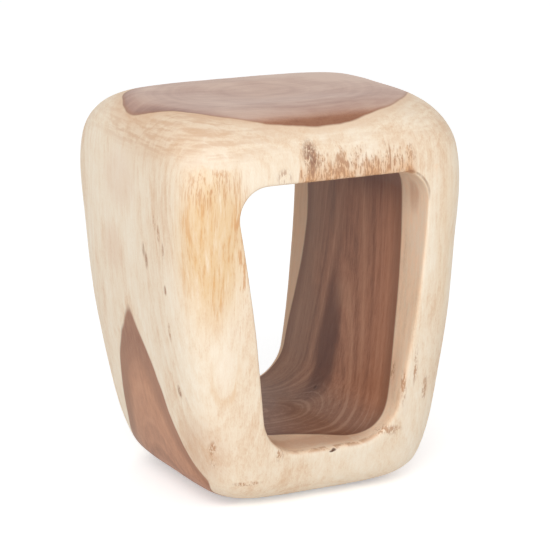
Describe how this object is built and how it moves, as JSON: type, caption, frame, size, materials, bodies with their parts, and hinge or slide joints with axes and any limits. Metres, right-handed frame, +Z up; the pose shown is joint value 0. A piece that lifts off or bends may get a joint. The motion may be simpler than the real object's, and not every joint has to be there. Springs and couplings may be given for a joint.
{
  "type": "wooden stool",
  "caption": "Carved block stool with a shallow dished seat, rounded shoulders and a tapering window from front to back, on nailed plastic glides.",
  "frame": {"origin": "on the floor under the middle of the overall width and depth", "axes": "+Z up; +X to the right, across the window; +Y to the back, along the window, so the face seen in the picture looks to -Y"},
  "size_m": [0.3806, 0.3406, 0.48],
  "materials": {
    "timber": "pale sapwood and brown heartwood, smoothed and lightly waxed",
    "glide_plastic": "moulded black plastic, matt",
    "nail_steel": "bright wire nail"
  },
  "bodies": {
    "root": {"stool_body": "timber", "glide_front_left": "glide_plastic", "glide_front_right": "glide_plastic", "glide_back_left": "glide_plastic", "glide_back_right": "glide_plastic", "nail_front_left": "nail_steel", "nail_front_right": "nail_steel", "nail_back_left": "nail_steel", "nail_back_right": "nail_steel"}
  },
  "joints": []
}
